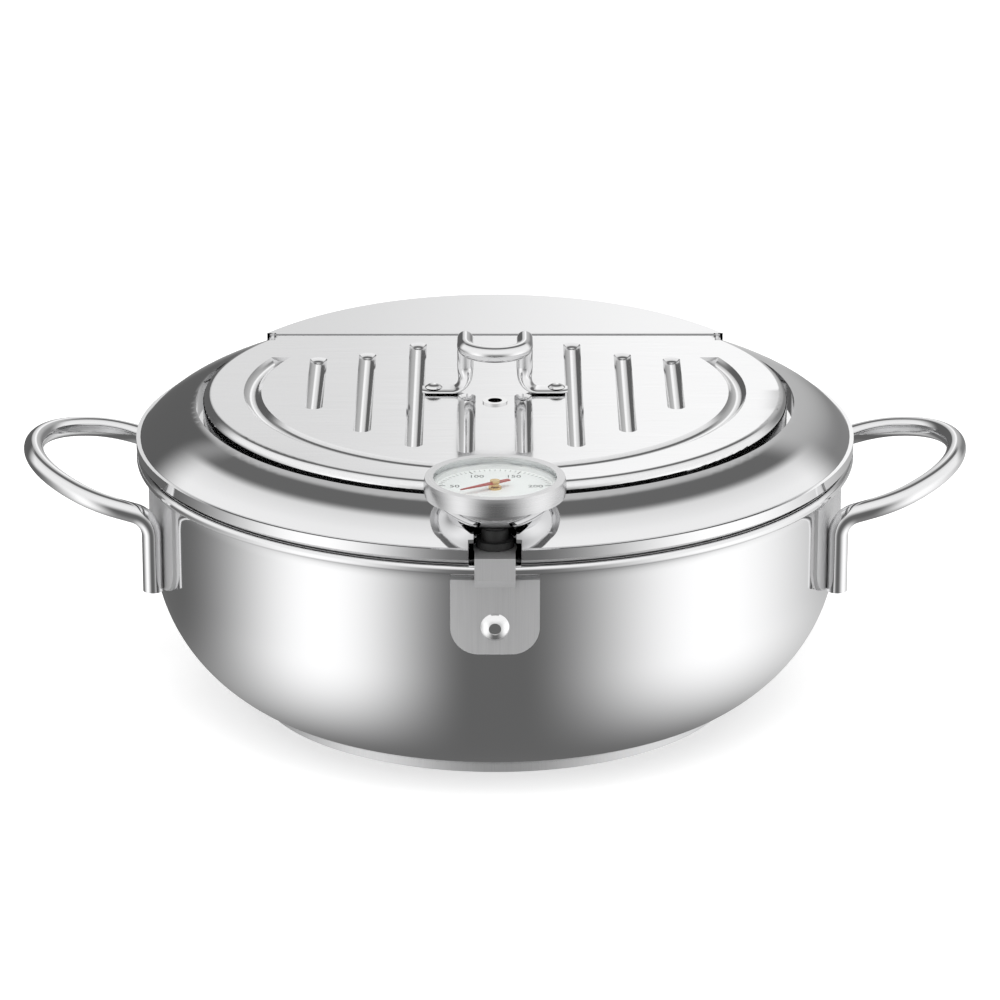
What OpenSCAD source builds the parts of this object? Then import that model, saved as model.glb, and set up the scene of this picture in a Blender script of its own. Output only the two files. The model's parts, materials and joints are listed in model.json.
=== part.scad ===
// Stove-top deep-frying pot with a two-part drain lid and a dial thermometer.
// Millimetres. The origin is the centre of the base on the floor, +Z is up
// and the thermometer is at the front, on -Y.

/* [Pot] */
// Outer radius of the upright wall
wall_r = 118; // [117.6:0.1:118.4]
// Thickness of the pot's sheet
wall_t = 0.9; // [0.8:0.05:1.0]
// Radius of the belly's curve
belly_r = 56.5; // [55.5:0.5:57.5]
// Height at which the belly becomes the upright wall
belly_z = 55; // [54.5:0.5:56]
// Outer radius of the rolled rim and of the lid's flange
rim_r = 123; // [122.8:0.1:123.4]
// Radius of the base disc
base_r = 83; // [80:0.5:84]
// Thickness of the base disc
base_h = 4.5; // [4:0.5:5]

/* [Side handles] */
// Radius of the handle tube
tube_r = 3.4; // [3:0.1:3.6]
// Half the distance between the two arms of a handle
arm_y = 40; // [39:0.5:41]
// How far the handle's centre line reaches from the middle
handle_x = 158.5; // [156:0.5:160]
// Slope of the handle above the horizontal
handle_slope = 16.5; // [14:0.5:18]

/* [Lid] */
// Height of the flange's lower edge
flange_z = 89.7; // [89.6:0.1:90]
// Inner radius of the lid's opening
mouth_r = 102.5; // [102.3:0.1:102.7]
// Distance from the middle to the straight front edge of the rear deck
chord_y = 63; // [62:0.5:64]
// Height of the deck at its front edge
deck_z = 108; // [107.8:0.1:108.2]
// Slope of the deck down towards the front
deck_slope = 3.4; // [2.5:0.1:4]
// Thickness of the lid's sheet
lid_t = 0.9; // [0.8:0.05:1.0]

/* [Drain plate] */
// Height of the plate's upper face
plate_z = 107.6; // [107.4:0.1:107.8]
// Outer radius of the plate
plate_r = 100; // [99.5:0.1:100.4]
// Width of a pressed groove
groove_w = 6; // [5:0.25:6.5]
// Depth of a pressed groove
groove_d = 1.5; // [1:0.1:1.6]

/* [Plate handle] */
// Radius of the handle tube
grip_r = 2.75; // [2.5:0.05:3]
// Height of the loop's centre line above the plate
grip_h = 19.5; // [18:0.5:21]
// Half the distance between the two arms
grip_x = 10.15; // [9.8:0.05:10.6]

/* [Thermometer] */
// Distance from the middle of the pot to the thermometer's axis
gauge_y = 113; // [112.6:0.1:113.2]
// Radius of the bezel
bezel_r = 23; // [22.5:0.1:23.4]
// Height of the bottom of the back case
gauge_z = 98; // [97.9:0.1:98.5]
// Radius of the stem
stem_r = 2.5; // [2.4:0.05:2.6]
// Height of the stem's lower end
stem_end_z = 42; // [42:0.5:50]
// Angle of the needle at rest, counted from +X towards the back
needle_angle = 212; // [200:1:225]

/* [Hidden] */
$fn = 96;
big = 400;

// Pot
rim_bead_r = 1.8;
rim_bead_z = 85.9;
rim_bead_x = rim_r - rim_bead_r;
belly_x = wall_r - belly_r;
pot_top = 84;
cap_t = 0.8;

// Side handles
mount_t = 1.2;
shank_r = 2;
foot_r = wall_r + mount_t + tube_r;
foot_x = sqrt(foot_r * foot_r - arm_y * arm_y);
foot_end_z = 49;
elbow_r = 8;
elbow_z = 69;
weld = 0.4;
join = 1;
tip_r = 43;
corner_angle = 2 * atan(0.5);
corner_r = (arm_y - tip_r * sin(corner_angle) - join * cos(corner_angle)) / (1 - sin(corner_angle));
loop_reach = tip_r - (tip_r - corner_r) * cos(corner_angle) + join * sin(corner_angle);
handle_plate_half = 24.5;
handle_plate_z0 = 49.5;
handle_plate_z1 = 81;
handle_rivet_angle = 14.5;
handle_rivet_z = 56.5;

// Bracket
bracket_half = 14.5;
bracket_z0 = 56;
bracket_z1 = 81.5;
bracket_corner = 9;
bracket_rivet_z = 65.4;
strap_half = 6.6;
strap_bend_z = 84.3;
tab_z = 90;
tab_r = 7;
tab_hole_r = 4.35;
strap_y = rim_r + 1.2;

// Lid
dome_x = 95.7;
dome_z = 70.5;
dome_r = 34.5;
ledge_z = 98.7;
ledge_r = 96.5;
deck_r = 102.4;
pocket_y = 106;
pocket_r = 14;
pocket_z = 96.9;
slot_half = 6.9;
slot_z0 = 80;
slot_h = 18.4;
notch_half = 8.7;
notch_y = 119.2;
seat_r = 115.5;
seat_z = 88;
seat_end_z = 82;
seat_slot_half = 8.5;

// Hinge between the plate and the deck
hem_r = 1.6;
hinge_y = chord_y - 0.4 - hem_r;
hinge_z = plate_z - hem_r;
hem_half = 77.6;
ear_x = 78.1;
ear_t = 1;
ear_r = 2.3;
pin_r = 1;
pin_gap = 0.06;
corner_y = 56;

// Drain plate
edge_r = 3;
skirt_z = ledge_z + lid_t + 0.3;
head_gap = 1.5;
trough_r = (groove_w * groove_w / 4 + groove_d * groove_d) / (2 * groove_d);
trough_z = plate_z + trough_r - groove_d;
arc_groove_r = 83;
arc_groove_end = 36;
vent_y = -14;

// Each straight groove: distance from the middle line, back end, front end
grooves = [[9.6, -8, -65], [27, 50, -59], [44.5, 38, -43.5], [61.5, 33, -19]];

// Plate handle
grip_bend = 5.5;
grip_straight = 7;
foot_bend = 3.4;
tab_t = 1.8;
tab_w = 8;
grip_rivet_x = 21;
grip_rivet_r = 3;
grip_rivet_y = -3;
grip_shank_r = 1.5;

// Thermometer
case_top = gauge_z + 11;
case_r = 20.5;
case_t = 0.8;
case_sphere = (case_r * case_r + 11 * 11) / 22;
bezel_z1 = case_top + 5.8;
lens_r = 20.8;
lens_z = case_top + 3.2;
lens_dome = 110;
lens_t = 1.4;
dial_z = case_top + 1.2;
needle_z = case_top + 3.6;
spindle_r = 0.6;
spindle_gap = 0.05;
spindle_end_z = 52;
stem_t = 0.45;
grommet_r = 6.2;
coil_turns = 14;
coil_pitch = 1.6;
coil_turn = 30;
coil_r = 1.7;
coil_w = 0.6;
coil_h = 0.9;

// Helpers ------------------------------------------------------------------

// Keeps what lies in front of y (towards -Y)
module in_front(y) { intersection() { children(); translate([-big, y - 2 * big, -big]) cube(2 * big); } }

// Keeps what lies behind y (towards +Y)
module behind(y) { intersection() { children(); translate([-big, y, -big]) cube(2 * big); } }

// Places its children at the front, on the thermometer's axis
module at_gauge() { translate([0, -gauge_y, 0]) children(); }

// A ring or disc between two radii and two heights
module ring(r0, r1, z0, z1) {
    difference() {
        translate([0, 0, z0]) cylinder(r = r1, h = z1 - z0);
        if (r0 > 0) translate([0, 0, z0 - 1]) cylinder(r = r0, h = z1 - z0 + 2);
    }
}

// A rectangle standing against the wall, its lower corners rounded
module tongue(half, z0, z1, corner) {
    translate([-half, z0 + corner]) square([2 * half, z1 - z0 - corner]);
    translate([-half + corner, z0]) square([2 * (half - corner), corner + 1]);
    for (side = [-1, 1]) translate([side * (half - corner), z0 + corner]) circle(corner);
}

// A sheet that follows the outside of the wall and has a tongue's outline, facing -Y
module wall_sheet(half, z0, z1, corner) {
    intersection() {
        ring(wall_r, wall_r + mount_t, 0, 100);
        rotate([90, 0, 0]) linear_extrude(2 * wall_r) tongue(half, z0, z1, corner);
    }
}

// A domed rivet through a wall whose outer face is at the origin, its head towards +X
module rivet(head_r, head_h, body_r, grip, dimple_r = 0) {
    dome_radius = (head_r * head_r + head_h * head_h) / (2 * head_h);
    rotate([0, 90, 0]) rotate_extrude() difference() {
        union() {
            intersection() {
                translate([0, head_h - dome_radius]) circle(dome_radius);
                square([head_r, head_h]);
            }
            translate([0, -grip - 0.5]) square([body_r, grip + 1]);
            translate([0, -grip - 1]) square([head_r * 0.8, 1]);
        }
        if (dimple_r > 0) translate([0, head_h - 0.7]) square([dimple_r, 2]);
    }
}

// Pot ----------------------------------------------------------------------

// Section of the pot's outside, moved inwards by inset
module pot_section(inset) {
    intersection() {
        union() {
            translate([belly_x, belly_z]) circle(belly_r - inset);
            square([belly_x, pot_top + 1]);
            translate([0, belly_z]) square([wall_r - inset, pot_top - belly_z + (inset > 0 ? 1 : 0)]);
        }
        translate([0, base_h + inset]) square([big, big]);
        square([big, pot_top + (inset > 0 ? 1 : 0)]);
    }
}

module pot_shell() {
    color("silver") difference() {
        rotate_extrude() {
            difference() {
                pot_section(0);
                pot_section(wall_t);
            }
            polygon([[wall_r - wall_t, pot_top - 2], [wall_r, pot_top - 2.4], [rim_bead_x, rim_bead_z],
                     [rim_bead_x, rim_bead_z + rim_bead_r - 0.05], [wall_r + 0.6, rim_bead_z + 0.6]]);
            translate([rim_bead_x, rim_bead_z]) circle(rim_bead_r);
        }
        handle_rivet_places() rivet_hole(shank_r);
        bracket_rivet_place() rivet_hole(shank_r);
    }
}

// Room for a rivet's shank
module rivet_hole(r) { translate([-6, 0, 0]) rotate([0, 90, 0]) cylinder(r = r, h = 12); }

module base_core() { color("lightgray") ring(0, base_r - cap_t, cap_t, base_h); }

module base_cap() {
    color("silver") difference() {
        ring(0, base_r, 0, base_h - 0.4);
        ring(0, base_r - cap_t, cap_t, base_h);
    }
}

// Side handles ---------------------------------------------------------------

// One half of the loop as tube, lying in the handle's own plane
module loop_half() {
    translate([loop_reach - tip_r, 0, 0]) {
        rotate_extrude(angle = corner_angle) translate([tip_r, 0]) circle(tube_r);
        rotate([0, 0, corner_angle]) translate([tip_r, 0, 0]) rotate([-90, 0, 0]) cylinder(r = tube_r, h = join);
    }
    translate([0, arm_y - corner_r, 0]) rotate([0, 0, corner_angle])
        rotate_extrude(angle = 90 - corner_angle) translate([corner_r, 0]) circle(tube_r);
}

module side_handle() {
    elbow_turn = 90 - handle_slope;
    start_x = foot_x + elbow_r - elbow_r * sin(handle_slope);
    start_z = elbow_z + elbow_r * cos(handle_slope);
    arm = (handle_x - start_x) / cos(handle_slope) - loop_reach;
    translate([start_x, 0, start_z]) rotate([0, -handle_slope, 0]) {
        for (side = [0, 1]) mirror([0, side, 0]) translate([arm, 0, 0]) loop_half();
        for (side = [-1, 1]) translate([0, side * arm_y, 0]) {
            translate([-weld, 0, 0]) rotate([0, 90, 0]) cylinder(r = tube_r, h = arm + weld);
            translate([0, 0, -elbow_r]) {
                rotate([90, 0, 0]) rotate([0, 0, 90]) rotate_extrude(angle = elbow_turn)
                    translate([elbow_r, 0]) circle(tube_r);
                rotate([0, -elbow_turn, 0]) translate([weld, 0, elbow_r]) rotate([0, -90, 0])
                    cylinder(r = tube_r, h = elbow_z - foot_end_z + weld);
            }
        }
    }
}

module handle_left() { color("silver") mirror([1, 0, 0]) side_handle(); }
module handle_right() { color("silver") rotate([0, 0, 180]) mirror([1, 0, 0]) side_handle(); }

module handle_plate(turn) {
    span = (wall_r + mount_t) * sin(handle_plate_half);
    color("gainsboro") difference() {
        rotate([0, 0, turn]) wall_sheet(span, handle_plate_z0, handle_plate_z1, bracket_corner);
        handle_rivet_places() rivet_hole(shank_r);
    }
}
module handle_plate_right() { handle_plate(90); }
module handle_plate_left() { handle_plate(-90); }

// Places its children at each of the four handle rivets, +X pointing outwards
module handle_rivet_places() {
    for (turn = [0, 180]) for (side = [-1, 1]) rotate([0, 0, turn + side * handle_rivet_angle])
        translate([wall_r + mount_t, 0, handle_rivet_z]) children();
}

module handle_rivets() {
    color("whitesmoke") handle_rivet_places() rivet(4.2, 2, shank_r, mount_t + wall_t + 0.4, 1.6);
}

// Thermometer bracket ---------------------------------------------------------

module bracket_rivet_place() {
    rotate([0, 0, -90]) translate([wall_r + mount_t, 0, bracket_rivet_z]) children();
}

module thermometer_bracket() {
    color("darkgray") difference() {
        union() {
            wall_sheet(bracket_half, bracket_z0, bracket_z1, bracket_corner);
            translate([-strap_half, 0, 0]) rotate([90, 0, 90]) linear_extrude(2 * strap_half)
                polygon([[-wall_r - mount_t, bracket_z1 - 2.5], [-strap_y - mount_t, strap_bend_z - 0.7],
                         [-strap_y - mount_t, tab_z + mount_t], [-gauge_y, tab_z + mount_t],
                         [-gauge_y, tab_z], [-strap_y, tab_z], [-strap_y, strap_bend_z],
                         [-wall_r - 0.1, bracket_z1 - 1.8], [-wall_r - 0.1, bracket_z1 - 3]]);
            at_gauge() ring(0, tab_r, tab_z, tab_z + mount_t);
        }
        at_gauge() translate([0, 0, tab_z - 1]) cylinder(r = tab_hole_r, h = mount_t + 2);
        bracket_rivet_place() rivet_hole(shank_r);
    }
}

module bracket_rivet() {
    color("whitesmoke") bracket_rivet_place() rivet(4.7, 2.2, shank_r, mount_t + wall_t + 0.3, 2);
}

// Lid ------------------------------------------------------------------------

// Section of the lid's dome, moved inwards by inset
module dome_section(inset) {
    intersection() {
        translate([dome_x, dome_z]) circle(dome_r - inset);
        translate([mouth_r, flange_z]) square([rim_r - mouth_r - 1.4, 20]);
    }
}

// Everything under the dome's outer face
module under_dome() { rotate_extrude() dome_section(0); }

// A half space below the deck's sloped face, moved down by drop
module under_deck(drop) {
    translate([0, chord_y, deck_z - drop]) rotate([deck_slope, 0, 0]) translate([-big, -big, -2 * big])
        cube(2 * big);
}

module deck() {
    behind(chord_y) {
        intersection() {
            ring(deck_r - lid_t, deck_r, ledge_z, deck_z + 6);
            under_deck(0);
        }
        difference() {
            intersection() {
                ring(0, deck_r - 0.1, deck_z - 3, deck_z + 6);
                under_deck(0);
            }
            under_deck(lid_t);
        }
    }
    translate([-hem_half + 0.2, chord_y, deck_z - 2.5]) cube([2 * hem_half - 0.4, lid_t, 2.2]);
}

module lid_ring() {
    color("silver") difference() {
        union() {
            difference() {
                rotate_extrude() {
                    difference() {
                        dome_section(0);
                        dome_section(lid_t);
                    }
                    translate([mouth_r, ledge_z]) square([lid_t, 103.8 - ledge_z]);
                    translate([ledge_r, ledge_z]) square([mouth_r - ledge_r + lid_t, lid_t]);
                    translate([rim_r - lid_t, flange_z]) square([lid_t, 3.2]);
                    translate([rim_r - 2, flange_z + 2.6]) square([2, 0.8]);
                }
                translate([0, -pocket_y, ledge_z + lid_t]) cylinder(r = pocket_r, h = 20);
                difference() {
                    translate([0, -pocket_y, pocket_z]) cylinder(r = pocket_r, h = 20);
                    cylinder(r = mouth_r + lid_t, h = big);
                }
            }
            intersection() {
                difference() {
                    translate([0, -pocket_y, pocket_z - lid_t]) cylinder(r = pocket_r + lid_t, h = 20);
                    translate([0, -pocket_y, pocket_z]) cylinder(r = pocket_r, h = 20);
                }
                under_dome();
            }
            deck();
        }
        lid_notch();
    }
}

// The slot that lets the stem and the bracket pass the lid's front edge
module lid_notch() {
    at_gauge() translate([0, 0, slot_z0]) cylinder(r = slot_half, h = slot_h);
    translate([-slot_half, -rim_r - 5, slot_z0]) cube([2 * slot_half, rim_r + 5 - gauge_y, slot_h]);
    translate([-notch_half, -rim_r - 5, slot_z0]) cube([2 * notch_half, rim_r + 5 - notch_y, slot_h]);
}

module lid_seat_ring() {
    color("gainsboro") difference() {
        rotate_extrude() {
            translate([seat_r, seat_end_z]) square([lid_t, seat_z - seat_end_z + lid_t]);
            translate([seat_r, seat_z]) square([5, lid_t]);
            intersection() {
                translate([seat_r, seat_z]) square([lid_t, 12]);
                translate([dome_x, dome_z]) circle(dome_r - lid_t);
            }
        }
        translate([-seat_slot_half, -rim_r, seat_end_z - 1]) cube([2 * seat_slot_half, 30, 30]);
        translate([0, -pocket_y, pocket_z - lid_t]) cylinder(r = pocket_r + lid_t, h = 20);
    }
}

// Hinge ------------------------------------------------------------------------

module hinge_brackets() {
    color("silver") for (side = [0, 1]) mirror([side, 0, 0]) difference() {
        union() {
            translate([ear_x, 0, 0]) rotate([90, 0, 90]) linear_extrude(ear_t) {
                translate([hinge_y, hinge_z]) circle(ear_r);
                polygon([[hinge_y, hinge_z - ear_r], [chord_y + 3, hinge_z - ear_r], [chord_y + 6, hinge_z],
                         [chord_y + 6, deck_z - lid_t - 0.2], [hinge_y, hinge_z + 0.9]]);
            }
            intersection() {
                translate([ear_x - 6, chord_y + 1, deck_z - 4]) cube([6 + ear_t, 5, 6]);
                difference() {
                    under_deck(lid_t);
                    under_deck(2 * lid_t);
                }
            }
        }
        translate([ear_x - 1, hinge_y, hinge_z]) rotate([0, 90, 0]) cylinder(r = pin_r + pin_gap, h = ear_t + 2);
        ring(deck_r - lid_t, rim_r, ledge_z, deck_z + 6);
    }
}

module hinge_pins() {
    color("whitesmoke") for (side = [0, 1]) mirror([side, 0, 0])
        translate([ear_x - 8, hinge_y, hinge_z]) rotate([0, 90, 0]) cylinder(r = pin_r, h = 8 + ear_t + 0.7);
}

// Drain plate --------------------------------------------------------------------

// The plate's dish as a solid, moved inwards by inset
module dish(inset) {
    r = plate_r - inset;
    top = plate_z - inset;
    edge = edge_r - inset;
    rotate_extrude() {
        translate([0, skirt_z - (inset > 0 ? 1 : 0)]) square([r, top - edge - skirt_z + (inset > 0 ? 1 : 0)]);
        square_top = top - edge;
        translate([0, square_top - 0.01]) square([r - edge, edge + 0.01]);
        intersection() {
            translate([r - edge, top - edge]) circle(edge);
            translate([r - edge - 0.01, top - edge - 0.01]) square(edge + 1);
        }
    }
}

// Every straight groove as a rounded bar of radius r
module groove_bars(r) {
    for (side = [-1, 1]) for (g = grooves) {
        translate([side * g[0], g[2], trough_z]) rotate([-90, 0, 0]) cylinder(r = r, h = g[1] - g[2]);
        for (end = [g[1], g[2]]) translate([side * g[0], end, trough_z]) sphere(r);
    }
}

// The groove that runs round the plate's edge, its wall moved outwards by grow
module arc_groove(grow) {
    wall = trough_r + grow;
    half = sqrt(wall * wall - (trough_z - plate_z) * (trough_z - plate_z));
    lip = grow > 0 ? [] : [[arc_groove_r + half, plate_z + 1], [arc_groove_r - half, plate_z + 1]];
    in_front(arc_groove_end + grow) rotate_extrude() polygon(concat(
        [for (k = [-3:3]) [arc_groove_r + k * half / 3, trough_z - sqrt(wall * wall - k * k * half * half / 9)]],
        lip));
}

module drain_plate() {
    color("whitesmoke") difference() {
        union() {
            in_front(hinge_y) {
                difference() {
                    dish(0);
                    dish(lid_t);
                }
                intersection() {
                    groove_bars(trough_r + lid_t);
                    ring(0, plate_r - 2, plate_z - 5, plate_z);
                }
                arc_groove(lid_t);
            }
            translate([-hem_half, hinge_y, hinge_z]) rotate([0, 90, 0]) cylinder(r = hem_r, h = 2 * hem_half);
        }
        groove_bars(trough_r);
        arc_groove(0);
        at_gauge() cylinder(r = bezel_r + head_gap, h = big);
        for (side = [0, 1]) mirror([side, 0, 0]) {
            translate([hem_half, corner_y, 0]) cube([big, big, big]);
            translate([ear_x - 8, hinge_y, hinge_z]) rotate([0, 90, 0]) cylinder(r = pin_r, h = 10);
            translate([grip_rivet_x, grip_rivet_y, plate_z - 5]) cylinder(r = grip_shank_r, h = 10);
        }
        translate([0, vent_y, plate_z - 5]) cylinder(r = 3, h = 10);
    }
}

module vent_eyelet() {
    color("silver") translate([0, vent_y, 0]) difference() {
        union() {
            ring(0, 4.2, plate_z, plate_z + 0.6);
            ring(0, 3, plate_z - lid_t - 0.1, plate_z + 0.1);
            ring(0, 4, plate_z - lid_t - 0.5, plate_z - lid_t);
        }
        translate([0, 0, plate_z - 5]) cylinder(r = 2.4, h = 10);
    }
}

// One arm of the plate's handle with its foot, on the +X side
module grip_arm() {
    translate([grip_x, 0, foot_bend + tab_t / 2]) cylinder(r = grip_r, h = grip_h - grip_bend - foot_bend - tab_t / 2);
    translate([grip_x, -grip_bend, grip_h - grip_bend]) rotate([0, 90, 0]) rotate([0, 0, 90])
        rotate_extrude(angle = 90) translate([grip_bend, 0]) circle(grip_r);
    translate([grip_x, -grip_bend - grip_straight, grip_h]) rotate([-90, 0, 0])
        cylinder(r = grip_r, h = grip_straight);
    hull() {
        translate([grip_x, 0, foot_bend + tab_t / 2]) cylinder(r = grip_r, h = 0.5, $fn = 24);
        translate([grip_x + 2, -tab_w / 2 - 1, 0]) cube([2, tab_w, tab_t]);
        translate([grip_x - grip_r + 0.4, -tab_w / 4, 0.6]) cube([3, tab_w / 2, 1]);
    }
    translate([grip_x + 3, grip_rivet_y - tab_w / 2, 0]) cube([grip_rivet_x - grip_x - 3, tab_w, tab_t]);
    translate([grip_rivet_x, grip_rivet_y, 0]) cylinder(r = tab_w / 2, h = tab_t);
}

module plate_handle() {
    color("silver") translate([0, 0, plate_z]) difference() {
        union() {
            for (side = [0, 1]) mirror([side, 0, 0]) grip_arm();
            translate([0, -grip_bend - grip_straight, grip_h]) rotate([0, 0, 180])
                rotate_extrude(angle = 180) translate([grip_x, 0]) circle(grip_r);
        }
        for (side = [-1, 1]) translate([side * grip_rivet_x, grip_rivet_y, -1]) cylinder(r = grip_shank_r, h = 5);
    }
}

module plate_handle_rivets() {
    color("whitesmoke") for (side = [-1, 1]) translate([side * grip_rivet_x, grip_rivet_y, plate_z + tab_t])
        rotate([0, -90, 0]) rivet(grip_rivet_r, 1.3, grip_shank_r, tab_t + lid_t);
}

// Thermometer --------------------------------------------------------------------

module thermometer_bezel() {
    color("silver") at_gauge() rotate_extrude() difference() {
        intersection() {
            translate([0, case_top - 0.2]) square([bezel_r, bezel_z1 - case_top + 0.2]);
            translate([bezel_r - 12, case_top + 2.8]) circle(12);
        }
        translate([0, case_top - 1]) square([case_r + 0.4, 2.2]);
        translate([0, case_top + 1.1]) square([lens_r, 4.3]);
        translate([0, case_top + 5]) square([lens_r - 0.9, 4]);
    }
}

// Section of the bowl-shaped back case, moved inwards by inset
module bowl_section(inset) {
    intersection() {
        translate([0, gauge_z + case_sphere]) circle(case_sphere - inset);
        translate([0, gauge_z + 0.5 + inset]) square([big, case_top - gauge_z - 0.5 - inset + (inset > 0 ? 1 : 0)]);
        square([big, case_top + (inset > 0 ? 1 : 0)]);
    }
}

module thermometer_back() {
    color("silver") at_gauge() difference() {
        union() {
            rotate_extrude() difference() {
                bowl_section(0);
                bowl_section(case_t);
            }
            ring(case_r - 0.9, case_r + 0.4, case_top, case_top + 1);
            ring(case_r - 2.2, case_r + 0.4, case_top - 0.8, case_top);
        }
        cylinder(r = stem_r, h = case_top - 4);
    }
}

module thermometer_lens() {
    color("azure", 0.4) at_gauge() rotate_extrude() intersection($fn = 360) {
        translate([0, lens_z]) square([lens_r - 0.1, 5]);
        translate([0, case_top + 6.6 - lens_dome]) difference() {
            circle(lens_dome);
            circle(lens_dome - lens_t);
        }
    }
}

module lens_gasket() {
    color("white") at_gauge() ring(lens_r - 1.4, lens_r - 0.02, dial_z + 0.6, lens_z);
}

module dial_plate() {
    color("white") at_gauge() difference() {
        ring(0, lens_r - 0.1, dial_z, dial_z + 0.6);
        translate([0, 0, dial_z - 1]) cylinder(r = 1.5, h = 4);
    }
}

module spindle_bush() {
    color("goldenrod") at_gauge() difference() {
        union() {
            ring(0, 1.5, dial_z - 0.6, dial_z + 0.6);
            ring(0, 2.1, dial_z + 0.6, dial_z + 1.3);
            ring(0, 2.1, dial_z - 1.2, dial_z);
        }
        translate([0, 0, dial_z - 3]) cylinder(r = spindle_r + spindle_gap, h = 8);
    }
}

module thermometer_stem() {
    color("silver") at_gauge() difference() {
        ring(0, stem_r, stem_end_z + 2, gauge_z + 3);
        translate([0, 0, stem_end_z]) cylinder(r = stem_r - stem_t, h = 100);
    }
}

module stem_plug() {
    color("silver") at_gauge() {
        ring(0, stem_r - stem_t, stem_end_z + 2, stem_end_z + 5);
        intersection() {
            translate([0, 0, stem_end_z + stem_r]) sphere(stem_r);
            ring(0, stem_r, stem_end_z, stem_end_z + 2);
        }
    }
}

module stem_grommet() {
    color("black") at_gauge() difference() {
        union() {
            ring(0, grommet_r, tab_z + mount_t + 0.3, tab_z + mount_t + 2.6);
            ring(0, tab_hole_r - 0.35, tab_z - 1.6, tab_z + mount_t + 1);
            ring(0, 4.4, tab_z + mount_t + 2, gauge_z - 0.4);
        }
        translate([0, 0, tab_z - 5]) cylinder(r = stem_r, h = 30);
    }
}

module bimetal_coil() {
    color("peru") at_gauge() translate([0, 0, stem_end_z + 5]) for (turn = [0:coil_turns - 1])
        translate([0, 0, turn * coil_pitch]) rotate([0, 0, turn * coil_turn]) {
            ring(coil_r - coil_w, coil_r, 0, coil_h);
            if (turn < coil_turns - 1) translate([coil_r - coil_w + 0.05, -0.3, 0.1])
                cube([coil_w - 0.1, 0.6, coil_pitch + coil_h - 0.2]);
        }
}

// Turns its children to the needle's rest angle about the thermometer's axis
module at_needle() { at_gauge() rotate([0, 0, needle_angle]) children(); }

module needle() {
    color("darkred") at_needle() translate([0, 0, needle_z]) linear_extrude(0.35) difference() {
        polygon([[-5.5, -0.7], [0, -1.1], [13, -0.15], [13, 0.15], [0, 1.1], [-5.5, 0.7]]);
        circle(1);
    }
}

module needle_cap() {
    color("goldenrod") at_needle() difference() {
        union() {
            ring(0, 1.6, needle_z + 0.35, needle_z + 1);
            ring(0, 1, needle_z - 0.1, needle_z + 0.4);
            ring(0, 1.3, needle_z - 0.8, needle_z);
        }
        translate([0, 0, needle_z - 2]) cylinder(r = spindle_r, h = 2.5);
    }
}

module spindle() {
    color("silver") at_needle() ring(0, spindle_r, spindle_end_z, needle_z + 0.5);
}

pot_shell();
base_core();
base_cap();
handle_left();
handle_right();
handle_plate_left();
handle_plate_right();
handle_rivets();
thermometer_bracket();
bracket_rivet();
lid_ring();
lid_seat_ring();
hinge_brackets();
drain_plate();
hinge_pins();
plate_handle();
plate_handle_rivets();
vent_eyelet();
thermometer_bezel();
thermometer_back();
thermometer_lens();
lens_gasket();
dial_plate();
thermometer_stem();
stem_grommet();
spindle_bush();
bimetal_coil();
stem_plug();
needle();
needle_cap();
spindle();
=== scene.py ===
"""Looks of a stove-top deep-frying pot with a drain lid and a dial thermometer.

Lengths are metres. The thermometer is at the front, on -Y, and +Z is up.
"""

import json
import logging
import math
from dataclasses import dataclass
from enum import Enum
from typing import Callable, Iterable, Optional, Sequence, Union

import bmesh
import bpy
from mathutils import Matrix, Vector

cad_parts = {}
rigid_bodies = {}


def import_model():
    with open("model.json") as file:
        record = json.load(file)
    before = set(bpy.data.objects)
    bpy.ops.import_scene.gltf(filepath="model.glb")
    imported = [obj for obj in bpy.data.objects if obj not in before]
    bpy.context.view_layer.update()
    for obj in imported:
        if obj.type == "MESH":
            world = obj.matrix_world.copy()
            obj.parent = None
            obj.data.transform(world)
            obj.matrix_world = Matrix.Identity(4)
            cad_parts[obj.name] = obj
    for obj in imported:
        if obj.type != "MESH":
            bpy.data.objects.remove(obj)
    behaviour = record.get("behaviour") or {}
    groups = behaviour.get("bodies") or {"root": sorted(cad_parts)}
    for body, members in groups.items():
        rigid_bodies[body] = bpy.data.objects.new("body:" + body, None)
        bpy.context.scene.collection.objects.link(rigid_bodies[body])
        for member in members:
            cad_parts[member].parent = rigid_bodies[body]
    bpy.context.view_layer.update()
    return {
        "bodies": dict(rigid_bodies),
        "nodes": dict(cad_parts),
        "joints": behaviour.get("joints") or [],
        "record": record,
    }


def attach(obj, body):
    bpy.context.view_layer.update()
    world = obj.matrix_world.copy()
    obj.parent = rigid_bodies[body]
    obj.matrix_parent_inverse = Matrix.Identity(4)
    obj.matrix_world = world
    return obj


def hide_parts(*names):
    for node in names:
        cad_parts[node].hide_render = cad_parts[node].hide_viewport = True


logging.basicConfig(level=logging.INFO, format="%(message)s")
LOG = logging.getLogger("pot")

MM = 0.001
SHARP = math.radians(32)
Point = tuple[float, float]


# Shader arithmetic ---------------------------------------------------------


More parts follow.
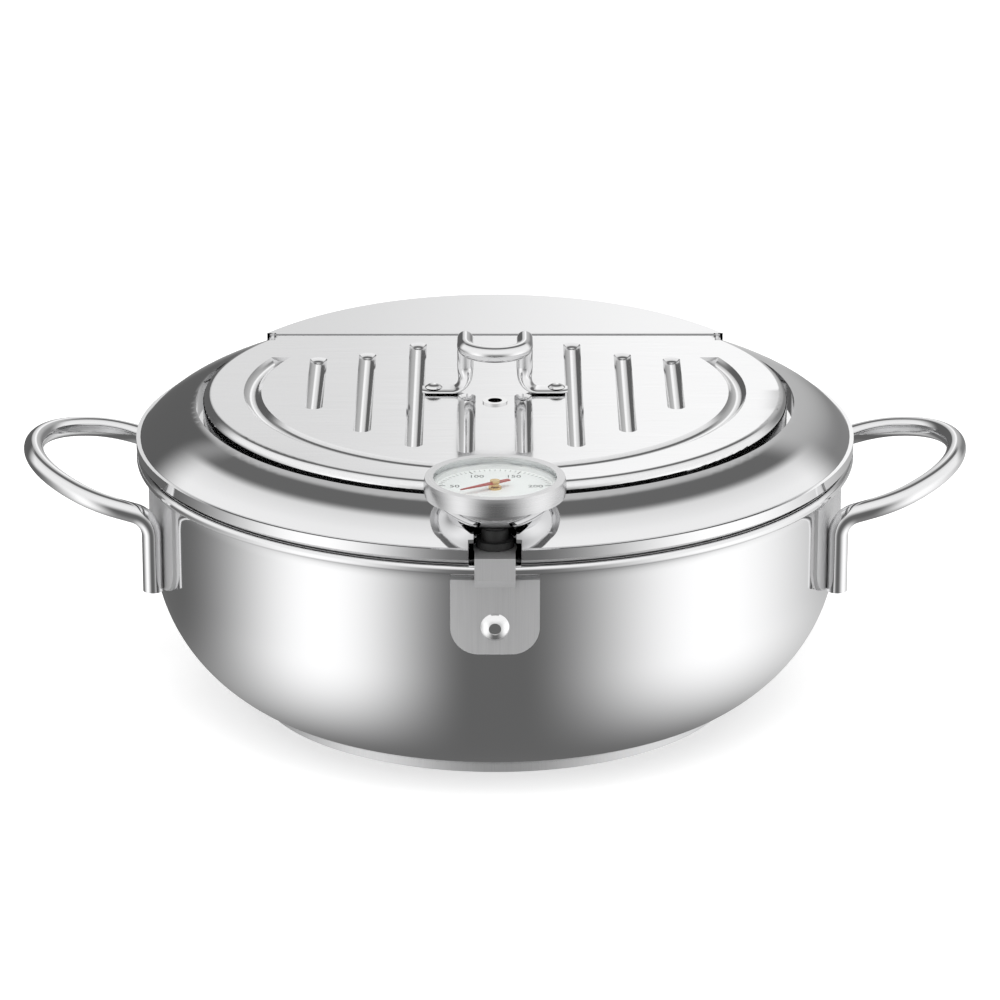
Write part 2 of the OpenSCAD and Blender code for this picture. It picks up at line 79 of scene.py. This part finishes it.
class Number:
    """A number socket that takes part in Python arithmetic."""

    def __init__(self, graph: "Graph", socket: bpy.types.NodeSocket) -> None:
        """Keeps the graph and the socket."""
        self.graph = graph
        self.socket = socket

    def __add__(self, other: "Term") -> "Number":
        """Sum."""
        return self.graph.maths("ADD", self, other)

    def __sub__(self, other: "Term") -> "Number":
        """Difference."""
        return self.graph.maths("SUBTRACT", self, other)

    def __rsub__(self, other: "Term") -> "Number":
        """Difference from a plain number."""
        return self.graph.maths("SUBTRACT", other, self)

    def __mul__(self, other: "Term") -> "Number":
        """Product."""
        return self.graph.maths("MULTIPLY", self, other)

    def __truediv__(self, other: "Term") -> "Number":
        """Quotient."""
        return self.graph.maths("DIVIDE", self, other)

    __radd__ = __add__
    __rmul__ = __mul__

    def ramp(self, low: float, high: float) -> "Number":
        """Rises smoothly from 0 at low to 1 at high."""
        node = self.graph.node(
            "ShaderNodeMapRange",
            {"interpolation_type": "SMOOTHSTEP"},
            {"Value": self, "From Min": low, "From Max": high},
        )
        return Number(self.graph, node.outputs["Result"])

    def bump(self, centre: float, half: float) -> "Number":
        """A raised cosine of the given half width about a centre."""
        away = self.graph.maths("MINIMUM", self.graph.maths("ABSOLUTE", self - centre) / half, 1.0)
        return self.graph.maths("COSINE", away * math.pi) * 0.5 + 0.5


Term = Union[Number, float]


class Graph:
    """A node tree with one method for each sort of node it needs."""

    def __init__(self, tree: bpy.types.NodeTree) -> None:
        """Empties the tree."""
        self.tree = tree
        tree.nodes.clear()

    def node(self, kind: str, settings: dict, sockets: dict) -> bpy.types.Node:
        """Adds a node.

        Args:
            kind: the node's type name.
            settings: attributes set first; "stops" are a colour ramp's.
            sockets: value, socket or Number for each named input.

        Returns:
            The node.
        """
        made = self.tree.nodes.new(kind)
        for name, value in settings.items():
            if name == "stops":
                elements = made.color_ramp.elements
                while len(elements) < len(value):
                    elements.new(0.5)
                for element, (place, colour) in zip(elements, value):
                    element.position = place
                    element.color = (*colour, 1.0)
            else:
                setattr(made, name, value)
        for name, value in sockets.items():
            target = made.inputs[name]
            if isinstance(value, Number):
                value = value.socket
            if isinstance(value, bpy.types.NodeSocket):
                self.tree.links.new(value, target)
            else:
                target.default_value = value
        return made

    def maths(self, operation: str, *terms: Term) -> Number:
        """Adds a Math node over up to three terms."""
        node = self.node("ShaderNodeMath", {"operation": operation}, dict(enumerate(terms)))
        return Number(self, node.outputs[0])

    def place(self) -> bpy.types.NodeSocket:
        """The point on the object, in its own coordinates."""
        return self.node("ShaderNodeTexCoord", {}, {}).outputs["Object"]

    def parts(self, vector: bpy.types.NodeSocket) -> tuple[Number, Number, Number]:
        """Splits a vector into its three numbers."""
        split = self.node("ShaderNodeSeparateXYZ", {}, {"Vector": vector})
        return tuple(Number(self, split.outputs[axis]) for axis in "XYZ")

    def joined(self, x: Term, y: Term, z: Term) -> bpy.types.NodeSocket:
        """Makes a vector of three terms."""
        return self.node("ShaderNodeCombineXYZ", {}, {"X": x, "Y": y, "Z": z}).outputs[0]

    def noise(self, vector: bpy.types.NodeSocket, scale: float, detail: float = 3.0) -> Number:
        """Noise between 0 and 1 at a scale of so many features a metre."""
        node = self.node("ShaderNodeTexNoise", {}, {"Vector": vector, "Scale": scale, "Detail": detail})
        return Number(self, node.outputs["Fac"])

    def tint(self, factor: Number, low: Sequence[float], high: Sequence[float]) -> bpy.types.NodeSocket:
        """Mixes two colours by a factor."""
        node = self.node("ShaderNodeMix", {"data_type": "RGBA"}, {"Factor": factor})
        node.inputs[6].default_value = (*low, 1.0)
        node.inputs[7].default_value = (*high, 1.0)
        return node.outputs[2]

    def relief(self, height: Number, strength: float, distance: float) -> bpy.types.NodeSocket:
        """A normal bent by a height."""
        node = self.node(
            "ShaderNodeBump", {}, {"Height": height, "Strength": strength, "Distance": distance}
        )
        return node.outputs["Normal"]


# Finishes ------------------------------------------------------------------


class Grain(Enum):
    """The way a steel surface was brushed."""

    NONE = "none"
    ALONG_X = "along_x"
    ALONG_Z = "along_z"
    ROUND_GAUGE = "round_gauge"
    ROUND_POT = "round_pot"


@dataclass(frozen=True)
class Steel:
    """Stainless steel, polished or brushed."""

    name: str
    colour: tuple[float, float, float] = (0.80, 0.80, 0.805)
    roughness: float = 0.06
    spread: float = 0.03
    grain: Grain = Grain.NONE
    grain_depth: float = 0.0
    gauge_y: float = 0.0
    metal: float = 1.0

    def _brushing(self, graph: Graph) -> Number:
        """Fine lines in the direction of the grain, 0 to 1."""
        x, y, z = graph.parts(graph.place())
        fine, long = 2600.0, 45.0
        if self.grain is Grain.ALONG_X:
            lines = graph.joined(x * long, y * fine, z * fine)
        elif self.grain is Grain.ALONG_Z:
            lines = graph.joined(x * fine, y * fine, z * long)
        else:
            off = y - self.gauge_y
            radius = graph.maths("SQRT", x * x + off * off)
            turn = graph.maths("ARCTAN2", off, x)
            lines = graph.joined(radius * fine, turn * 1.5, z * fine)
        return graph.noise(lines, 1.0, 2.0)

    def material(self) -> bpy.types.Material:
        """Builds the material.

        Returns:
            A node material of this finish.
        """
        material = bpy.data.materials.new(self.name)
        material.use_nodes = True
        graph = Graph(material.node_tree)
        place = graph.place()
        cloud = graph.noise(place, 38.0)
        smear = graph.noise(place, 9.0, 5.0)
        dark = tuple(c * 0.93 for c in self.colour)
        rough = cloud * self.spread + (self.roughness - self.spread / 2)
        sockets = {"Metallic": self.metal, "Base Color": graph.tint(smear, dark, self.colour)}
        if self.grain is not Grain.NONE:
            lines = self._brushing(graph)
            rough = rough + (lines - 0.5) * (self.spread * 1.5)
            sockets["Normal"] = graph.relief(lines, self.grain_depth, 0.00005)
            sockets["Base Color"] = graph.tint(lines, tuple(c * 0.86 for c in self.colour), self.colour)
        sockets["Roughness"] = rough
        shader = graph.node("ShaderNodeBsdfPrincipled", {}, sockets)
        graph.node("ShaderNodeOutputMaterial", {}, {"Surface": shader.outputs[0]})
        return material


@dataclass(frozen=True)
class Coating:
    """A smooth solid colour such as enamel, silicone or paint, or a plain metal."""

    name: str
    colour: tuple[float, float, float]
    roughness: float = 0.4
    metallic: float = 0.0
    mottle: float = 0.06
    grit: float = 0.0

    def material(self) -> bpy.types.Material:
        """Builds the material.

        Returns:
            A node material of this finish.
        """
        material = bpy.data.materials.new(self.name)
        material.use_nodes = True
        graph = Graph(material.node_tree)
        place = graph.place()
        cloud = graph.noise(place, 220.0)
        dark = tuple(c * (1 - self.mottle) for c in self.colour)
        sockets = {
            "Metallic": self.metallic,
            "Base Color": graph.tint(cloud, dark, self.colour),
            "Roughness": cloud * 0.08 + (self.roughness - 0.04),
        }
        if self.grit:
            sockets["Normal"] = graph.relief(graph.noise(place, 2500.0), self.grit, 0.0001)
        shader = graph.node("ShaderNodeBsdfPrincipled", {}, sockets)
        graph.node("ShaderNodeOutputMaterial", {}, {"Surface": shader.outputs[0]})
        return material


@dataclass(frozen=True)
class ClearGlass:
    """Thin clear glass with faint smears."""

    name: str

    def material(self) -> bpy.types.Material:
        """Builds the material.

        Returns:
            A node material of this finish.
        """
        material = bpy.data.materials.new(self.name)
        material.use_nodes = True
        graph = Graph(material.node_tree)
        smear = graph.noise(graph.place(), 60.0)
        clear = graph.node("ShaderNodeBsdfTransparent", {}, {"Color": (0.97, 0.98, 0.98, 1.0)})
        gloss = graph.node(
            "ShaderNodeBsdfPrincipled",
            {},
            {"Base Color": (1.0, 1.0, 1.0, 1.0), "Metallic": 1.0, "Roughness": smear * 0.03 + 0.02},
        )
        edge = Number(graph, graph.node("ShaderNodeLayerWeight", {}, {"Blend": 0.35}).outputs["Fresnel"])
        inside = graph.node("ShaderNodeNewGeometry", {}, {}).outputs["Backfacing"]
        share = edge * 0.5 * (1.0 - Number(graph, inside))
        mixed = graph.node("ShaderNodeMixShader", {}, {0: share})
        graph.tree.links.new(clear.outputs[0], mixed.inputs[1])
        graph.tree.links.new(gloss.outputs[0], mixed.inputs[2])
        graph.node("ShaderNodeOutputMaterial", {}, {"Surface": mixed.outputs[0]})
        return material


# Making pieces ---------------------------------------------------------------


def mark_sharp(bm: bmesh.types.BMesh, angle: float = SHARP) -> None:
    """Shades every face smooth and keeps edges sharper than an angle crisp."""
    for face in bm.faces:
        face.smooth = True
    for edge in bm.edges:
        edge.smooth = len(edge.link_faces) == 2 and edge.calc_face_angle(0.0) < angle


def piece(
    name: str,
    bm: bmesh.types.BMesh,
    material: bpy.types.Material,
    body: str,
    replaced: Iterable[str] = (),
    angle: float = SHARP,
) -> bpy.types.Object:
    """Turns a bmesh into a finished piece.

    Args:
        name: the piece's name.
        bm: its shape, in place; it is freed.
        material: its finish.
        body: the moving body it rides on.
        replaced: the CAD nodes that it stands for.
        angle: edges sharper than this stay crisp.

    Returns:
        The new object.
    """
    mark_sharp(bm, angle)
    mesh = bpy.data.meshes.new(name)
    bm.to_mesh(mesh)
    bm.free()
    mesh.materials.append(material)
    made = bpy.data.objects.new(name, mesh)
    bpy.context.scene.collection.objects.link(made)
    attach(made, body)
    if replaced:
        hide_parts(*replaced)
    LOG.info("%s: %d faces", name, len(mesh.polygons))
    return made


def merged(frame: dict, node: str) -> bmesh.types.BMesh:
    """A merged copy of a CAD node's mesh."""
    bm = bmesh.new()
    bm.from_mesh(frame["nodes"][node].data)
    bmesh.ops.remove_doubles(bm, verts=bm.verts, dist=1e-6)
    return bm


def turned(section: Sequence[Point], steps: int, closed: bool = False) -> bmesh.types.BMesh:
    """Spins a section of (radius, height) points round the Z axis.

    Args:
        section: the points in order.
        steps: the number of steps in a full turn.
        closed: whether the last point joins the first.

    Returns:
        The turned shape with outward normals.
    """
    bm = bmesh.new()
    verts = [bm.verts.new((radius, 0.0, height)) for radius, height in section]
    edges = [bm.edges.new(pair) for pair in zip(verts, verts[1:])]
    if closed:
        edges.append(bm.edges.new((verts[-1], verts[0])))
    bmesh.ops.spin(
        bm, geom=verts + edges, cent=(0, 0, 0), axis=(0, 0, 1), angle=math.tau, steps=steps, use_merge=True
    )
    bmesh.ops.remove_doubles(bm, verts=bm.verts, dist=1e-6)
    bmesh.ops.recalc_face_normals(bm, faces=bm.faces)
    return bm


def arc(cx: float, cy: float, radius: float, start: float, end: float, steps: int) -> list[Point]:
    """Points on an arc, angles in degrees."""
    turn = (end - start) / steps
    angles = [math.radians(start + turn * k) for k in range(steps + 1)]
    return [(cx + radius * math.cos(a), cy + radius * math.sin(a)) for a in angles]


def swept(path: Sequence[Vector], radii: Sequence[Point], across: Vector, sides: int) -> bmesh.types.BMesh:
    """Runs a tube along a path and caps its ends.

    Args:
        path: the centre line's points.
        radii: the half thickness along and beside the across direction at each point.
        across: a direction square to the path's start.
        sides: the number of sides.

    Returns:
        The tube.
    """
    bm = bmesh.new()
    rings = []
    last = len(path) - 1
    for k, centre in enumerate(path):
        along = (path[min(k + 1, last)] - path[max(k - 1, 0)]).normalized()
        across = (across - along * across.dot(along)).normalized()
        place = Matrix((across, along.cross(across), along)).transposed().to_4x4()
        place.translation = centre
        place = place @ Matrix.Diagonal((*radii[k], 1.0, 1.0))
        made = bmesh.ops.create_circle(bm, cap_ends=k in (0, last), radius=1.0, segments=sides, matrix=place)
        rings.append({edge for vert in made["verts"] for edge in vert.link_edges})
    for lower, upper in zip(rings, rings[1:]):
        bmesh.ops.bridge_loops(bm, edges=list(lower | upper))
    bmesh.ops.recalc_face_normals(bm, faces=bm.faces)
    return bm


# The object ------------------------------------------------------------------


@dataclass
class Palette:
    """Every finish on the object, made once."""

    gauge_y: float = -113 * MM

    def __post_init__(self) -> None:
        """Builds the materials."""
        grey = (0.70, 0.70, 0.705)
        made = {
            "polished_steel": Steel("polished_steel"),
            "satin_steel": Steel("satin_steel", (0.74, 0.74, 0.745), 0.42, 0.08, Grain.ALONG_Z, 0.12, metal=0.72),
            "plate_steel": Steel("plate_steel", (0.84, 0.84, 0.845), 0.11, 0.03, Grain.ALONG_X, 0.06),
            "bezel_steel": Steel("bezel_steel", grey, 0.25, 0.08, Grain.ROUND_GAUGE, 0.3, self.gauge_y),
            "bright_rivet": Steel("bright_rivet", (0.86, 0.86, 0.86), 0.10, 0.04),
            "base_aluminium": Coating("base_aluminium", (0.62, 0.62, 0.63), 0.35, 1.0),
            "lens_glass": ClearGlass("lens_glass"),
            "white_gasket": Coating("white_gasket", (0.85, 0.85, 0.84), 0.5),
            "dial_white": Coating("dial_white", (0.90, 0.90, 0.885), 0.45, 0.0, 0.03),
            "dial_print": Coating("dial_print", (0.03, 0.03, 0.03), 0.5),
            # The black silicone sleeve round the thermometer stem fills the lid's notch: painted shade, a dark
            # part put where the notch shows only shade.
            "black_silicone": Coating("black_silicone", (0.02, 0.02, 0.02), 0.55, 0.0, 0.2, 0.3),
            "bush_brass": Coating("bush_brass", (0.72, 0.50, 0.22), 0.25, 1.0),
            "coil_bronze": Coating("coil_bronze", (0.60, 0.40, 0.24), 0.3, 1.0),
            "needle_red": Coating("needle_red", (0.40, 0.04, 0.03), 0.4),
        }
        self.materials = {name: finish.material() for name, finish in made.items()}

    def __getitem__(self, name: str) -> bpy.types.Material:
        """The material of a finish."""
        return self.materials[name]


@dataclass
class Dressing:
    """CAD nodes whose shape stays, given smooth shading and their finish."""

    frame: dict
    palette: Palette

    def dress(self, nodes: Iterable[str]) -> None:
        """Copies each node smooth-shaded, with its record slot's finish.

        Args:
            nodes: the CAD nodes.
        """
        slots = {s["node"]: s["material_slot"] for s in self.frame["record"]["subparts"]}
        bodies = self.frame["record"]["behaviour"]["bodies"]
        for node in nodes:
            body = next(name for name, members in bodies.items() if node in members)
            piece(
                node + "_finished", merged(self.frame, node), self.palette[slots[node]], body, [node]
            )


@dataclass
class PotShell:
    """The drawn bowl with its rolled rim."""

    palette: Palette
    wall_r: float = 118 * MM
    wall_t: float = 0.9 * MM
    belly_r: float = 56.5 * MM
    belly_z: float = 55 * MM
    base_z: float = 4.5 * MM
    top_z: float = 84 * MM
    bead_x: float = 121.2 * MM
    bead_z: float = 85.9 * MM
    bead_r: float = 1.8 * MM
    steps: int = 288

    def _side(self, inset: float) -> list[Point]:
        """The belly's arc and the wall, from the base up, moved in by inset."""
        radius = self.belly_r - inset
        sink = self.belly_z - self.base_z - inset
        start = -math.degrees(math.asin(sink / radius))
        centre = self.wall_r - self.belly_r
        points = arc(centre, self.belly_z, radius, start, 0.0, 44)
        wall = self.wall_r - inset
        rise = self.top_z - 2.2 * MM - self.belly_z
        return points + [(wall, self.belly_z + rise * k / 8) for k in range(1, 9)]

    def build(self) -> None:
        """Spins the wall and its bead in one piece."""
        outside = [(0.0, self.base_z), (60 * MM, self.base_z)] + self._side(0.0)
        bead = arc(self.bead_x, self.bead_z, self.bead_r, -128.0, 168.0, 26)
        inside = [(0.0, self.base_z + self.wall_t), (60 * MM, self.base_z + self.wall_t)]
        inside += self._side(self.wall_t)
        bm = turned(outside + bead + inside[::-1], self.steps)
        piece("pot_shell_drawn", bm, self.palette["polished_steel"], "pot", ["pot_shell"], math.radians(50))


@dataclass
class SideHandles:
    """The two bent tubes at the pot's sides, feet included."""

    palette: Palette
    tube_r: float = 3.4 * MM
    foot_r: float = 122.6 * MM
    foot_z: float = 49 * MM
    elbow_z: float = 69 * MM
    elbow_r: float = 8 * MM
    slope: float = 16.5
    arm_y: float = 40 * MM
    tip_x: float = 158.5 * MM
    tip_r: float = 43 * MM
    corner_r: float = 25 * MM
    corner: float = math.degrees(2 * math.atan(0.5))
    reach: float = 33 * MM

    def _half(self) -> list[Vector]:
        """The centre line of the right handle's back half, from foot to tip."""
        foot_x = math.sqrt(self.foot_r**2 - self.arm_y**2)
        points = [Vector((foot_x, self.arm_y, self.foot_z + 4 * MM * k)) for k in range(5)]
        bend = arc(foot_x + self.elbow_r, self.elbow_z, self.elbow_r, 180.0, 90.0 + self.slope, 12)
        points += [Vector((x, self.arm_y, z)) for x, z in bend]
        start = points[-1]
        tilt = math.radians(self.slope)
        arm = (self.tip_x - start.x) / math.cos(tilt) - self.reach
        flat = [(arm * k / 4, self.arm_y) for k in range(1, 4)]
        flat += arc(arm, self.arm_y - self.corner_r, self.corner_r, 90.0, self.corner, 12)
        flat += arc(arm + self.reach - self.tip_r, 0.0, self.tip_r, self.corner, 0.0, 20)
        return points + [
            Vector((start.x + u * math.cos(tilt), v, start.z + u * math.sin(tilt))) for u, v in flat
        ]

    def build(self) -> None:
        """Bends both tubes."""
        half = self._half()
        path = half + [Vector((p.x, -p.y, p.z)) for p in half[-2::-1]]
        radii = [(self.tube_r, self.tube_r)] * len(path)
        for name, side in (("right", 1.0), ("left", -1.0)):
            line = [Vector((side * p.x, p.y, p.z)) for p in path]
            bm = swept(line, radii, Vector((1, 0, 0)), 40)
            bm_name = f"handle_{name}_tube"
            piece(
                bm_name, bm, self.palette["polished_steel"], "pot", [f"handle_{name}"], math.radians(50)
            )


@dataclass
class PlateHandle:
    """The small loop on the drain plate, its tube pressed flat at the feet."""

    palette: Palette
    plate_z: float = 107.6 * MM
    tube_r: float = 2.75 * MM
    half_x: float = 10.15 * MM
    top_z: float = 19.5 * MM
    bend_r: float = 5.5 * MM
    straight: float = 7 * MM
    foot_end: float = 24.8 * MM
    foot_y: float = -3 * MM
    foot_bend: float = 4.2 * MM
    flat: Point = (0.9 * MM, 3.9 * MM)

    def _half(self) -> tuple[list[Vector], list[Point]]:
        """The right half's centre line and its half thicknesses, from foot to tip."""
        low = self.plate_z + self.flat[0] + 0.02 * MM
        bend_x = self.half_x + self.foot_bend
        span = self.foot_end - bend_x
        points = [Vector((self.foot_end - span * k / 8, self.foot_y, low)) for k in range(8)]
        sizes = [(self.flat[0], self.flat[1] * (0.72 if k == 0 else 0.93 if k == 1 else 1.0)) for k in range(8)]
        turn = arc(bend_x, low + self.foot_bend, self.foot_bend, 270.0, 180.0, 12)
        rise = 12 + 6
        lift = [(self.half_x, low + self.foot_bend + 0.6 * MM * k) for k in range(1, 7)]
        for k, (x, z) in enumerate(turn + lift):
            part = 0.5 - 0.5 * math.cos(math.pi * min(k / rise, 1.0))
            points.append(Vector((x, self.foot_y * (1 - part), z)))
            sizes.append(tuple(f + (self.tube_r - f) * part for f in self.flat))
        top = self.plate_z + self.top_z
        for y, z in arc(-self.bend_r, top - self.bend_r, self.bend_r, 0.0, 90.0, 12):
            points.append(Vector((self.half_x, y, z)))
        end_y = -self.bend_r - self.straight
        points.append(Vector((self.half_x, end_y + self.straight / 2, top)))
        for x, y in arc(0.0, end_y, self.half_x, 0.0, -90.0, 20):
            points.append(Vector((x, y, top)))
        sizes += [(self.tube_r, self.tube_r)] * (len(points) - len(sizes))
        return points, sizes

    def build(self) -> None:
        """Bends the loop."""
        half, sizes = self._half()
        path = half + [Vector((-p.x, p.y, p.z)) for p in half[-2::-1]]
        bm = swept(path, sizes + sizes[-2::-1], Vector((0, 0, 1)), 36)
        piece(
            "plate_handle_loop", bm, self.palette["polished_steel"], "drain_plate",
            ["plate_handle"], math.radians(50),
        )


@dataclass
class Dial:
    """The printed scale on the thermometer's white face."""

    palette: Palette
    centre_y: float = -113 * MM
    face_z: float = 109.0 * MM + 1.8 * MM
    rim_r: float = 18.6 * MM
    zero: float = 225.0
    sweep: float = 270.0
    top: int = 250
    ink: float = 0.06 * MM

    def _at(self, reading: float) -> float:
        """The angle of a reading, in radians."""
        return math.radians(self.zero - self.sweep * reading / self.top)

    def _tick(self, bm: bmesh.types.BMesh, reading: float, length: float, width: float) -> None:
        """Adds one radial mark."""
        turn = Matrix.Rotation(self._at(reading), 4, "Z")
        place = Matrix.Translation((0.0, self.centre_y, self.face_z)) @ turn
        place = place @ Matrix.Translation((self.rim_r - length / 2, 0.0, 0.0))
        bmesh.ops.create_cube(bm, size=1.0, matrix=place @ Matrix.Diagonal((length, width, self.ink, 1.0)))

    def _figure(self, bm: bmesh.types.BMesh, reading: int, radius: float, size: float) -> None:
        """Adds one number, upright for the cook at the front."""
        curve = bpy.data.curves.new("figure", "FONT")
        curve.body, curve.size, curve.extrude = str(reading), size, self.ink / 2
        curve.align_x, curve.align_y = "CENTER", "CENTER"
        text = bpy.data.objects.new("figure", curve)
        bpy.context.scene.collection.objects.link(text)
        bpy.context.view_layer.update()
        mesh = bpy.data.meshes.new_from_object(text.evaluated_get(bpy.context.evaluated_depsgraph_get()))
        bpy.data.objects.remove(text)
        angle = self._at(reading)
        mesh.transform(
            Matrix.Translation(
                (radius * math.cos(angle), self.centre_y + radius * math.sin(angle), self.face_z)
            )
        )
        bm.from_mesh(mesh)
        bpy.data.meshes.remove(mesh)

    def build(self) -> None:
        """Prints the ticks and the numbers."""
        bm = bmesh.new()
        for reading in range(0, self.top + 1, 5):
            strong = reading % 50 == 0
            self._tick(bm, reading, (2.4 if strong else 1.3) * MM, (0.35 if strong else 0.18) * MM)
        for reading in range(0, self.top + 1, 50):
            self._figure(bm, reading, 13.2 * MM, 3.3 * MM)
        piece("dial_scale", bm, self.palette["dial_print"], "thermometer")


@dataclass
class Studio:
    """The floor, the surroundings that the steel mirrors, the lights and the camera."""

    elevation: float = 19.65
    distance: float = 1.75
    lens: float = 182.0
    target_z: float = 0.055
    shift_x: float = 0.005
    shift_y: float = 0.0337

    def floor(self) -> None:
        """Lays a plain pale floor that the steel doesn't mirror."""
        bm = bmesh.new()
        bmesh.ops.create_circle(bm, cap_ends=True, radius=40.0, segments=96)
        mesh = bpy.data.meshes.new("floor")
        bm.to_mesh(mesh)
        bm.free()
        material = bpy.data.materials.new("floor")
        material.use_nodes = True
        graph = Graph(material.node_tree)
        shader = graph.node(
            "ShaderNodeBsdfPrincipled",
            {},
            {
                "Base Color": (0.9, 0.9, 0.9, 1.0),
                "Roughness": 0.8,
                "Specular IOR Level": 0.0,
                "Emission Color": (1.0, 1.0, 1.0, 1.0),
                "Emission Strength": 0.42,
            },
        )
        graph.node("ShaderNodeOutputMaterial", {}, {"Surface": shader.outputs[0]})
        mesh.materials.append(material)
        floor = bpy.data.objects.new("floor", mesh)
        bpy.context.scene.collection.objects.link(floor)
        floor.visible_glossy = False

    def surroundings(self) -> None:
        """Paints the studio that the polished steel mirrors."""
        world = bpy.data.worlds.new("studio")
        bpy.context.scene.world = world
        world.use_nodes = True
        graph = Graph(world.node_tree)
        direction = graph.node("ShaderNodeTexCoord", {}, {}).outputs["Generated"]
        angle = math.radians(self.elevation)
        ahead = (0.0, math.cos(angle), -math.sin(angle))
        half = graph.node(
            "ShaderNodeVectorMath", {"operation": "SUBTRACT"}, {0: direction, 1: ahead}
        ).outputs[0]
        unit = graph.node("ShaderNodeVectorMath", {"operation": "NORMALIZE"}, {0: half}).outputs[0]
        x, y, z = graph.parts(unit)
        turn = graph.maths("ARCTAN2", x, y * -1.0)
        deg = math.radians
        low = 0.15 + x.bump(-0.49, 0.43) * 1.18 + x.bump(0.63, 0.56) * 1.18
        low = 0.15 + (low - 0.15) * z.ramp(-0.92, -0.12)
        front = turn.ramp(deg(-74), deg(-60)) * (1.0 - turn.ramp(deg(62), deg(76)))
        left, right = 0.13, 0.26 + z.ramp(0.70, 0.97) * 0.30
        side = left + x.ramp(-0.35, 0.35) * (right - left)
        glow = 1.08 - z.ramp(0.68, 0.90) * 0.24
        dome = side + front * (glow - side)
        shade = z.ramp(0.83, 0.885) * front
        dome = dome + shade * (0.16 - dome)
        dome = dome + z.ramp(0.945, 0.965) * (0.60 - dome)
        rear = y.ramp(0.10, 0.32)
        back = 0.66 + x.ramp(-0.3, 0.3) * 0.24
        dome = dome + rear * (back - dome)
        flat = z.ramp(0.972, 0.992)
        plate = 0.86 + x.ramp(-0.06, 0.06) * 0.30
        upper = dome + flat * (plate - dome)
        light = low + z.ramp(0.10, 0.50) * (upper - low)
        camera = graph.node("ShaderNodeLightPath", {}, {}).outputs["Is Camera Ray"]
        light = light + Number(graph, camera) * (0.93 - light)
        shade = graph.node("ShaderNodeBackground", {}, {"Color": graph.joined(light, light, light)})
        graph.node("ShaderNodeOutputWorld", {}, {"Surface": shade.outputs[0]})

    def lights(self) -> None:
        """Hangs one soft overhead light."""
        lamp = bpy.data.lights.new("softbox", "AREA")
        lamp.shape, lamp.size, lamp.size_y, lamp.energy = "RECTANGLE", 1.6, 1.2, 9.0
        made = bpy.data.objects.new("softbox", lamp)
        made.location = (0.1, -0.35, 1.7)
        made.visible_glossy = False
        bpy.context.scene.collection.objects.link(made)

    def camera(self) -> None:
        """Stands the camera in front, looking down on the lid."""
        data = bpy.data.cameras.new("camera")
        data.lens, data.sensor_width = self.lens, 36.0
        data.shift_x, data.shift_y = self.shift_x, self.shift_y
        data.clip_start, data.clip_end = 0.05, 200.0
        made = bpy.data.objects.new("camera", data)
        angle = math.radians(self.elevation)
        back = Vector((0.0, -math.cos(angle), math.sin(angle)))
        made.location = Vector((0.0, 0.0, self.target_z)) + back * self.distance
        made.rotation_euler = (math.pi / 2 - angle, 0.0, 0.0)
        bpy.context.scene.collection.objects.link(made)
        bpy.context.scene.camera = made

    def build(self) -> None:
        """Sets up everything that isn't the object."""
        bpy.context.scene.view_settings.view_transform = "Standard"
        self.floor()
        self.surroundings()
        self.lights()
        self.camera()


def main() -> None:
    """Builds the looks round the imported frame."""
    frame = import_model()
    palette = Palette()
    Studio().build()
    PotShell(palette).build()
    SideHandles(palette).build()
    PlateHandle(palette).build()
    Dial(palette).build()
    remade = {"pot_shell", "handle_left", "handle_right", "plate_handle"}
    Dressing(frame, palette).dress(sorted(set(frame["nodes"]) - remade))


if __name__ == "__main__":
    main()
